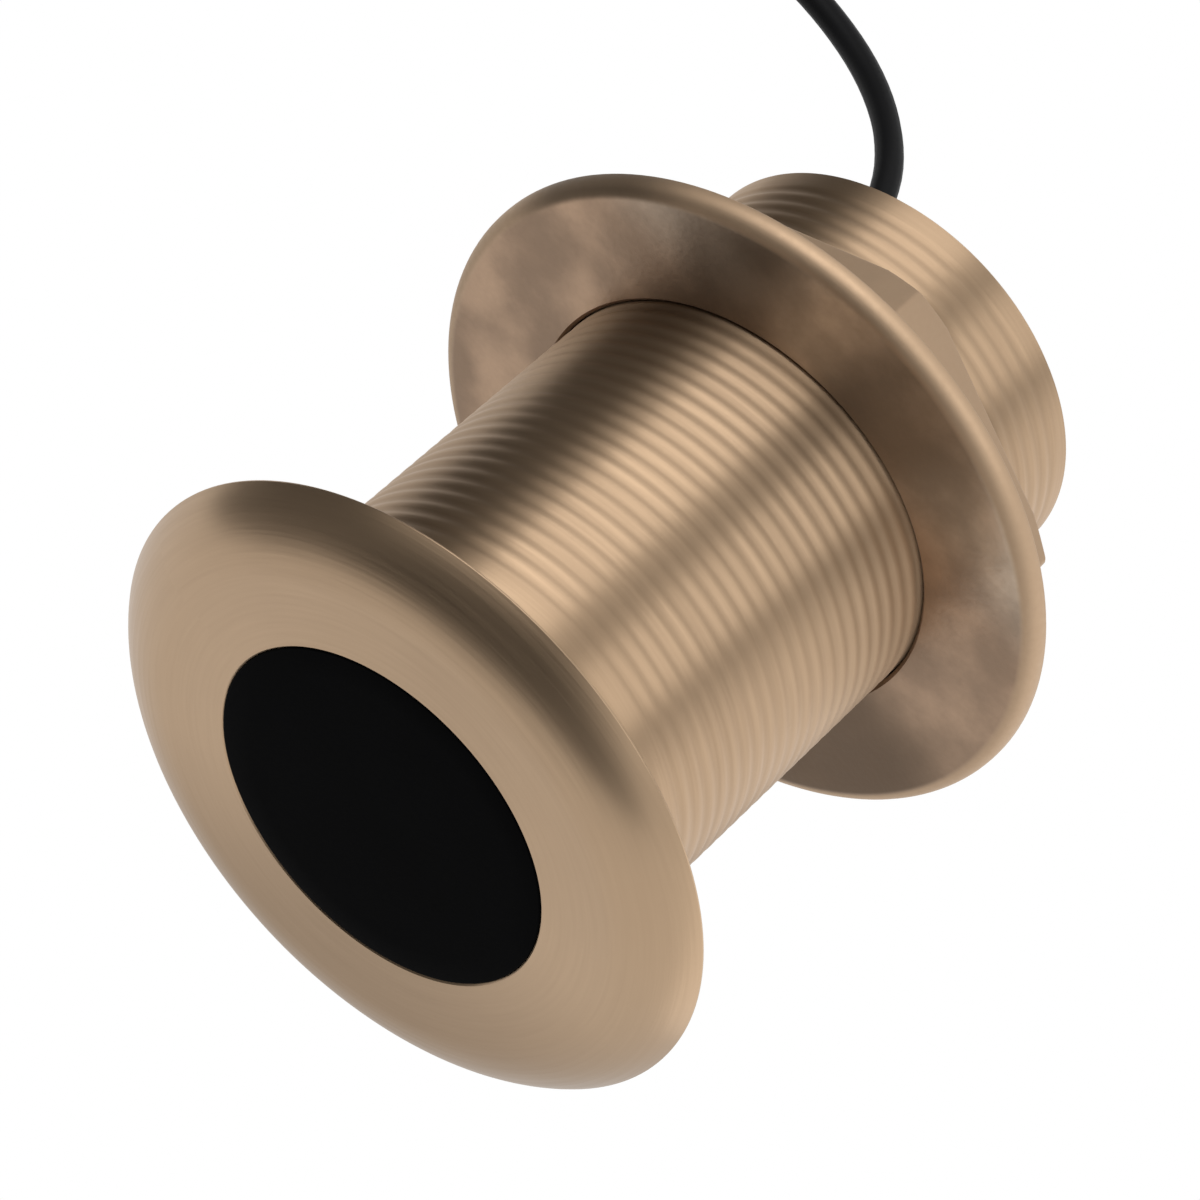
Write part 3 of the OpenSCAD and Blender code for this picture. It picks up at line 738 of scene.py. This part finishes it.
def make_plug_body(material):
    """Grooved barrel and the neck that the collar turns on."""
    shoulder = BOOT_L + BARREL_L
    round_r, foot_z = BARREL_R - BARREL_ROUND, BOOT_L + BARREL_ROUND
    outline = [(round_r, BOOT_L)]
    outline += arc(round_r, foot_z, BARREL_ROUND, BARREL_FOOT_ANGLE, 0.0, BARREL_FOOT_STEPS)
    for i in range(1, BARREL_STEPS):
        z = foot_z + (BARREL_L - 2.0 * BARREL_ROUND) * i / BARREL_STEPS
        depth = groove_depth(z, BOOT_L + BARREL_GROOVE_STEP, BARREL_GROOVE_STEP)
        outline.append((BARREL_R - depth, z))
    outline += arc(round_r, shoulder - BARREL_ROUND, BARREL_ROUND, 0.0, 90.0, BARREL_ROUND_STEPS)
    outline += [(NECK_R, shoulder), (NECK_R, KEEPER_Z), (KEEPER_R, KEEPER_Z)]
    outline += [(KEEPER_R, KEEPER_Z + KEEPER_T), (NECK_R, KEEPER_Z + KEEPER_T)]
    neck_round_r, neck_round_z = NECK_R - BARREL_ROUND, NECK_END - BARREL_ROUND
    outline += arc(neck_round_r, neck_round_z, BARREL_ROUND, 0.0, 90.0, BARREL_ROUND_STEPS)
    outline += [(INSERT_HOLE_R, NECK_END), (INSERT_HOLE_R, INSERT_Z)]
    skin = capped(outline, PLUG_COLUMNS)
    place = plug_place()
    return add_piece("plug_barrel", skin, material, "transducer", ["plug_body"], place)


def flute_r(angle):
    """Radius of the fluted collar in one direction."""
    step = 360.0 / FLUTES
    off = abs((math.degrees(angle) + step / 2.0) % step - step / 2.0)
    return COLLAR_R - FLUTE_DEPTH * dip(off / FLUTE_HALF)


def collar_angles():
    """Columns of the collar in radians, closer together in its flutes."""
    return [math.radians(360.0 * k / FLUTES + x) for k in range(FLUTES) for x in FLUTE_COLUMNS]


def make_plug_collar(material):
    """Fluted locking ring that turns on the plug."""
    end = COLLAR_Z + COLLAR_L
    lip = COLLAR_Z + COLLAR_LIP_T
    foot_round = arc(COLLAR_R - COLLAR_ROUND, COLLAR_Z + COLLAR_ROUND, COLLAR_ROUND, -90.0, 0.0,
                     COLLAR_ROUND_STEPS)
    end_round = arc(-COLLAR_ROUND, end - COLLAR_ROUND, COLLAR_ROUND, 0.0, 90.0, COLLAR_ROUND_STEPS)
    skin = Skin(collar_angles())
    rings = [skin.ring(COLLAR_HOLE_R, lip), skin.ring(COLLAR_HOLE_R, COLLAR_Z)]
    rings += [skin.ring(r, z) for r, z in foot_round]
    rings.append(skin.ring(COLLAR_R, lip - FLUTE_RUN_OUT))
    rings.append(skin.ring(flute_r, lip + FLUTE_RUN_OUT))
    for step, z in end_round:
        rings.append(skin.ring(lambda a, s=step: flute_r(a) + s, z))
    rings.append(skin.ring(COLLAR_MOUTH_R + COLLAR_MOUTH_BEVEL, end))
    rings.append(skin.ring(COLLAR_MOUTH_R, end - COLLAR_MOUTH_BEVEL))
    rings.append(skin.ring(COLLAR_MOUTH_R, lip))
    skin.chain(rings + rings[:1])
    place = plug_place()
    return add_piece("plug_ring", skin, material, "plug_collar", ["plug_collar"], place)


# Materials

class Look:
    """A procedural material, with short ways to add nodes to it."""

    def __init__(self, name, metallic=0.0, specular=0.5):
        self.material = bpy.data.materials.new(name)
        self.material.use_nodes = True
        self.tree = self.material.node_tree
        self.shader = self.tree.nodes["Principled BSDF"]
        self.set("Metallic", metallic)
        self.set("Specular IOR Level", specular)

    def set(self, socket, value):
        """Sets one socket of the shader, to a number or to what another node gives."""
        if isinstance(value, bpy.types.NodeSocket):
            self.tree.links.new(value, self.shader.inputs[socket])
        else:
            self.shader.inputs[socket].default_value = value

    def add(self, kind, inputs, output=0, **settings):
        """Adds a node with its settings and inputs, and returns one of its outputs."""
        made = self.tree.nodes.new(kind)
        for key, value in settings.items():
            setattr(made, key, value)
        for key, value in inputs.items():
            if isinstance(value, bpy.types.NodeSocket):
                self.tree.links.new(value, made.inputs[key])
            else:
                made.inputs[key].default_value = value
        return made.outputs[output]

    def place(self):
        """Coordinates in the part's own frame, in metres."""
        return self.add("ShaderNodeTexCoord", {}, "Object")

    def split(self, vector):
        """The x, y and z of a vector."""
        x = self.add("ShaderNodeSeparateXYZ", {0: vector})
        return x, x.node.outputs[1], x.node.outputs[2]

    def math(self, operation, a, b=0.0):
        """One operation on one or two values."""
        return self.add("ShaderNodeMath", {0: a, 1: b}, operation=operation)

    def noise(self, scale, detail, vector=None):
        """Cloudy values from 0 to 1."""
        source = self.place() if vector is None else vector
        return self.add("ShaderNodeTexNoise", {"Vector": source, "Scale": scale, "Detail": detail})

    def ramp(self, factor, low, high):
        """Eases from 0 to 1 as the factor goes from low to high."""
        inputs = {"Value": factor, "From Min": low, "From Max": high}
        return self.add("ShaderNodeMapRange", inputs, interpolation_type="SMOOTHSTEP")

    def span(self, factor, low, high):
        """Spreads a factor from 0 to 1 over low to high."""
        return self.add("ShaderNodeMapRange", {"Value": factor, "To Min": low, "To Max": high})

    def mix(self, factor, a, b):
        """Mixes two colours."""
        return self.add("ShaderNodeMix", {"Factor": factor, 6: a, 7: b}, 2, data_type="RGBA")

    def bump(self, height, strength, distance, under=None):
        """A bumped normal, on top of another one if that is given."""
        inputs = {"Height": height, "Strength": strength, "Distance": distance}
        if under is not None:
            inputs["Normal"] = under
        return self.add("ShaderNodeBump", inputs)


def colour(r, g, b):
    """A colour with full cover."""
    return (r, g, b, 1.0)


def axis_places(look):
    """Distance from the stem's axis, angle about it and height."""
    x, y, z = look.split(look.place())
    square = look.math("ADD", look.math("MULTIPLY", x, x), look.math("MULTIPLY", y, y))
    return look.math("SQRT", square), look.math("ARCTAN2", y, x), z


def lathe_marks(look, radius, angle, height):
    """Fine marks that run round the axis."""
    inputs = {0: radius, 1: look.math("MULTIPLY", angle, LATHE_TURN), 2: height}
    places = look.add("ShaderNodeCombineXYZ", inputs)
    return look.noise(scale=LATHE_SCALE, detail=4.0, vector=places)


def turned_bronze():
    """Satin bronze from the lathe, with painted shade on one side of the flange and in the thread's
    groove.
    """
    look = Look("turned_bronze", metallic=1.0)
    radius, angle, height = axis_places(look)
    marks = lathe_marks(look, radius, angle, height)
    clouds = look.noise(scale=35.0, detail=4.0)
    tone = look.mix(clouds, BRONZE_DARK, BRONZE_LIGHT)
    tone = look.mix(look.span(marks, low=0.0, high=0.35), tone, BRONZE_MARK)
    on_stem = look.ramp(height, FLANGE_H + STEM_LOOK_FROM, FLANGE_H + STEM_LOOK_FULL)
    # Painted shade: the flange's face darkens towards its back right side, but not on the stem
    x, y = look.split(look.place())[:2]
    along_x = look.math("MULTIPLY", x, SHADE_TOWARDS[0])
    along_y = look.math("MULTIPLY", y, SHADE_TOWARDS[1])
    painted_shade = look.ramp(look.math("ADD", along_x, along_y), SHADE_FROM, SHADE_FULL)
    painted_shade = look.math("MULTIPLY", painted_shade, look.span(on_stem, SHADE_COVER, 0.0))
    tone = look.mix(painted_shade, tone, BRONZE_PAINTED_SHADE)
    # Painted shade: the thread's groove is darkened as if shade fell in it
    on_crest = look.ramp(radius, STEM_R - THREAD_DEPTH, STEM_R - GROOVE_EDGE)
    threaded = look.ramp(height, THREAD_START - THREAD_LOOK_RUN, THREAD_START)
    in_groove = look.math("MULTIPLY", look.math("SUBTRACT", 1.0, on_crest), threaded)
    tone = look.mix(look.math("MULTIPLY", in_groove, GROOVE_SHADE), tone, BRONZE_GROOVE_PAINTED_SHADE)
    look.set("Base Color", tone)
    look.set("Tangent", look.add("ShaderNodeTangent", {}, direction_type="RADIAL", axis="Z"))
    look.set("Anisotropic Rotation", 0.25)
    look.set("Anisotropic", look.span(on_stem, low=0.65, high=0.93))
    rougher = look.math("MULTIPLY", on_stem, STEM_ROUGHER)
    look.set("Roughness", look.math("ADD", look.span(marks, low=0.26, high=0.40), rougher))
    look.set("Normal", look.bump(marks, strength=0.12, distance=0.0002))
    return look.material


def painted_dark_patch(look, angle, middle, full, gone, cover):
    """Cover of a painted dark patch of shadow and reflection about a direction, whole up to one angle
    from it and gone at another.
    """
    off = look.math("ABSOLUTE", look.math("SUBTRACT", angle, math.radians(middle)))
    return look.span(look.ramp(off, full, gone), cover, 0.0)


def cast_bronze():
    """Cast bronze: mottled clamping face with painted shadow and reflection patches, turned rim with a
    painted dark reflection, and a rougher hexagon behind it.
    """
    look = Look("cast_bronze", specular=0.25)
    radius, angle, height = axis_places(look)
    back_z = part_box("hull_nut")[0].z + NUT_DISC_T
    marks = lathe_marks(look, radius, angle, height)
    patches = look.ramp(look.noise(scale=55.0, detail=6.0), low=0.35, high=0.68)
    grain = look.noise(scale=900.0, detail=5.0)
    front = look.ramp(look.split(look.place())[1], CAST_FRONT_FROM, CAST_FRONT_FULL)
    dark = look.mix(front, CAST_DARK_BACK, CAST_DARK_FRONT)
    light = look.mix(front, CAST_LIGHT_BACK, CAST_LIGHT_FRONT)
    face = look.mix(patches, dark, light)
    face = look.mix(look.span(grain, low=0.0, high=0.2), face, CAST_GRAIN)
    # Painted shadow and dark reflection of the stem, in patches about set directions
    for shadow_patch in FACE_PAINTED_SHADOWS:
        face = look.mix(painted_dark_patch(look, angle, *shadow_patch), face, CAST_PAINTED_SHADOW)
    # Painted reflection: a dark band on the rim about one direction
    edge = look.mix(painted_dark_patch(look, angle, *RIM_PAINTED_REFLECTION), RIM_TONE, RIM_REFLECTION_TONE)
    rim = look.ramp(radius, RIM_FROM, RIM_FULL)
    behind = look.ramp(height, back_z, back_z + HEXAGON_LOOK_RUN)
    look.set("Base Color", look.mix(behind, look.mix(rim, face, edge), HEXAGON_TONE))
    turned = look.math("MAXIMUM", rim, behind)
    look.set("Metallic", look.span(turned, low=0.78, high=0.9))
    rim_rougher = look.math("MULTIPLY", rim, RIM_ROUGHER)
    rougher = look.math("MAXIMUM", rim_rougher, look.math("MULTIPLY", behind, HEXAGON_ROUGHER))
    look.set("Roughness", look.math("ADD", look.span(grain, low=0.28, high=0.42), rougher))
    rough = look.math("MULTIPLY", grain, look.span(turned, low=1.0, high=0.12))
    sand = look.bump(rough, strength=0.12, distance=0.0003)
    look.set("Normal", look.bump(marks, strength=0.05, distance=0.0002, under=sand))
    return look.material


def black_compound(name, tone, roughness, specular, grain_scale, bump):
    """A black rubber, resin or plastic with a fine grain."""
    look = Look(name, specular=specular)
    grain = look.noise(scale=grain_scale, detail=5.0)
    clouds = look.noise(scale=60.0, detail=3.0)
    dark = colour(*[tone * share for share in COMPOUND_DARK])
    light = colour(*[tone * share for share in COMPOUND_LIGHT])
    look.set("Base Color", look.mix(clouds, dark, light))
    look.set("Roughness", look.span(grain, roughness - COMPOUND_SPREAD, roughness + COMPOUND_SPREAD))
    look.set("Normal", look.bump(grain, strength=bump, distance=0.0001))
    return look.material


def speckled(name, base, roughness, metallic=0.0):
    """A plain working material with a slight variation of tone."""
    look = Look(name, metallic=metallic)
    grain = look.noise(scale=700.0, detail=4.0)
    dark = colour(*[SPECKLE_DARK * c for c in base])
    look.set("Base Color", look.mix(grain, dark, colour(*base)))
    look.set("Roughness", look.span(grain, roughness - SPECKLE_SPREAD, roughness + SPECKLE_SPREAD))
    look.set("Normal", look.bump(grain, strength=0.15, distance=0.0001))
    return look.material


def slot_looks():
    """The material of each slot in the record."""
    return {
        "bronze_housing": turned_bronze(),
        "bronze_nut": cast_bronze(),
        "cable_jacket": black_compound("cable_jacket", tone=0.004, roughness=0.5, specular=0.09,
                                       grain_scale=1500.0, bump=0.1),
        "window_resin": black_compound("window_resin", tone=0.0013, roughness=0.4, specular=0.006,
                                       grain_scale=900.0, bump=0.08),
        "relief_rubber": black_compound("relief_rubber", tone=0.012, roughness=0.6, specular=0.25,
                                        grain_scale=1800.0, bump=0.2),
        "plug_plastic": black_compound("plug_plastic", tone=0.015, roughness=0.45, specular=0.35,
                                       grain_scale=2200.0, bump=0.15),
        "potting_resin": black_compound("potting_resin", tone=0.012, roughness=0.4, specular=0.3,
                                        grain_scale=500.0, bump=0.1),
        "tie_strap": black_compound("tie_strap", tone=0.015, roughness=0.8, specular=0.2,
                                    grain_scale=2500.0, bump=0.4),
        "piezo_ceramic": speckled("piezo_ceramic", (0.72, 0.68, 0.56), roughness=0.6),
        "soft_pad": speckled("soft_pad", (0.32, 0.18, 0.09), roughness=0.85),
        "moulded_plastic": speckled("moulded_plastic", (0.06, 0.065, 0.07), roughness=0.5),
        "copper_wire": speckled("copper_wire", (0.55, 0.22, 0.08), roughness=0.35, metallic=1.0),
        "board_laminate": speckled("board_laminate", (0.01, 0.09, 0.03), roughness=0.45),
        "ferrite": speckled("ferrite", (0.05, 0.05, 0.055), roughness=0.55),
        "contact_brass": speckled("contact_brass", (0.60, 0.42, 0.12), roughness=0.3, metallic=1.0),
        "core_insulation": speckled("core_insulation", (0.5, 0.5, 0.48), roughness=0.5),
        "insert_plastic": speckled("insert_plastic", (0.05, 0.05, 0.055), roughness=0.5),
    }


def dress_solids(looks):
    """Gives each solid the material of its slot."""
    for row in frame["record"]["subparts"]:
        solid = frame["nodes"][row["node"]]
        solid.data.materials.clear()
        solid.data.materials.append(looks[row["material_slot"]])


# Stage

def make_world():
    """White surroundings, a little weaker for diffuse light."""
    world = bpy.data.worlds.new("surroundings")
    bpy.context.scene.world = world
    world.use_nodes = True
    tree = world.node_tree
    background = tree.nodes["Background"]
    background.inputs["Color"].default_value = WHITE
    path = tree.nodes.new("ShaderNodeLightPath")
    strength = tree.nodes.new("ShaderNodeMapRange")
    strength.inputs["To Min"].default_value = WORLD_STRENGTH
    strength.inputs["To Max"].default_value = WORLD_DIFFUSE_STRENGTH
    tree.links.new(path.outputs["Is Diffuse Ray"], strength.inputs["Value"])
    tree.links.new(strength.outputs[0], background.inputs["Strength"])


def flat_sheet(name, width, length, height=0.0):
    """A mesh of one rectangle that faces up."""
    x, y = width / 2.0, length / 2.0
    mesh = bpy.data.meshes.new(name)
    places = [(-x, -y, height), (x, -y, height), (x, y, height), (-x, y, height)]
    mesh.from_pydata(places, [], [(0, 1, 2, 3)])
    return mesh


def floor_paint():
    """Pale paint that is clear from below."""
    material = bpy.data.materials.new("floor_paint")
    material.use_nodes = True
    tree = material.node_tree
    tree.nodes.clear()
    paint = tree.nodes.new("ShaderNodeBsdfDiffuse")
    paint.inputs["Color"].default_value = FLOOR_TONE
    clear = tree.nodes.new("ShaderNodeBsdfTransparent")
    side = tree.nodes.new("ShaderNodeNewGeometry")
    either = tree.nodes.new("ShaderNodeMixShader")
    out = tree.nodes.new("ShaderNodeOutputMaterial")
    tree.links.new(side.outputs["Backfacing"], either.inputs[0])
    tree.links.new(paint.outputs[0], either.inputs[1])
    tree.links.new(clear.outputs[0], either.inputs[2])
    tree.links.new(either.outputs[0], out.inputs["Surface"])
    return material


def make_floor():
    """A pale floor that is clear from below, so that the camera sees the face that stands on it."""
    mesh = flat_sheet("floor", 2.0 * FLOOR_HALF, 2.0 * FLOOR_HALF, -FLOOR_DROP)
    mesh.materials.append(floor_paint())
    floor = bpy.data.objects.new("floor", mesh)
    bpy.context.collection.objects.link(floor)
    floor.visible_glossy = False
    floor.visible_diffuse = False
    floor.visible_transmission = False
    floor.visible_shadow = False
    return floor


def aim(at):
    """Rotation that turns a lamp or card at a place to face the middle of the stem."""
    middle = Vector((0.0, 0.0, STEM_MIDDLE_Z))
    return (middle - Vector(at)).to_track_quat("-Z", "Y")


def stem_direction(turn, rise, distance):
    """A place seen from the stem at that angle from the front and that elevation."""
    turn, rise = math.radians(turn), math.radians(rise)
    flat = distance * math.cos(rise)
    return (flat * math.sin(turn), -flat * math.cos(turn), STEM_MIDDLE_Z + distance * math.sin(rise))


def all_but(floor):
    """What the lamps light: everything but the floor, which the surroundings light evenly."""
    lit = bpy.data.collections.new("lit_by_lamps")
    lit.objects.link(floor)
    lit.collection_objects[0].light_linking.link_state = "EXCLUDE"
    return lit


def make_softbox(name, at, width, height, watts, lit):
    """A soft lamp that faces the stem."""
    data = bpy.data.lights.new(name, "AREA")
    data.shape = "RECTANGLE"
    data.size = width
    data.size_y = height
    data.energy = watts
    lamp = bpy.data.objects.new(name, data)
    lamp.location = at
    lamp.rotation_mode = "QUATERNION"
    lamp.rotation_quaternion = aim(at)
    lamp.visible_camera = False
    lamp.light_linking.receiver_collection = lit
    bpy.context.collection.objects.link(lamp)


def make_card(name, at, width, height, material, turn):
    """A dark card that shows only as a reflection in the metal."""
    mesh = flat_sheet(name, width, height)
    mesh.materials.append(material)
    card = bpy.data.objects.new(name, mesh)
    card.location = at
    card.rotation_mode = "QUATERNION"
    card.rotation_quaternion = turn
    bpy.context.collection.objects.link(card)
    card.visible_camera = False
    card.visible_diffuse = False
    card.visible_transmission = False
    card.visible_shadow = False


def card_paint(name, level):
    """The dark grey that a card shows in reflections."""
    material = bpy.data.materials.new(name)
    material.use_nodes = True
    tree = material.node_tree
    tree.nodes.clear()
    glow = tree.nodes.new("ShaderNodeEmission")
    glow.inputs["Color"].default_value = colour(level, level, level)
    out = tree.nodes.new("ShaderNodeOutputMaterial")
    tree.links.new(glow.outputs[0], out.inputs["Surface"])
    return material


def make_stage():
    """Floor, surroundings, soft lamps and the dark cards between them."""
    bpy.context.scene.view_settings.view_transform = "Standard"
    make_world()
    lit = all_but(make_floor())
    for name, (turn, rise, distance, width, height, watts) in LAMPS.items():
        make_softbox(name, stem_direction(turn, rise, distance), width, height, watts, lit)
    paints = {name: card_paint(name, level) for name, level in CARD_PAINTS.items()}
    for name, (turn, rise, distance, width, height, paint) in CARDS.items():
        at = stem_direction(turn, rise, distance)
        make_card(name, at, width, height, paints[paint], aim(at))
    spin = Quaternion((0.0, 0.0, 1.0), math.radians(CARD_BELOW_SPIN))
    make_card("card_below", CARD_BELOW_AT, CARD_BELOW_W, CARD_BELOW_L, paints["card_black"], spin)


make_camera()
looks = slot_looks()
dress_solids(looks)
on_cable = [
    make_ties(looks["tie_strap"]),
    make_plug_boot(looks["relief_rubber"]),
    make_plug_body(looks["plug_plastic"]),
    make_plug_collar(looks["plug_plastic"]),
]
on_cable += [frame["nodes"][name] for name in ("plug_insert", "plug_contacts", "plug_seal")]
make_cable(looks["cable_jacket"])
make_housing(looks["bronze_housing"])
make_nut(looks["bronze_nut"])
make_window(looks["window_resin"])
make_potting(looks["potting_resin"])
make_relief(looks["relief_rubber"])
make_stage()
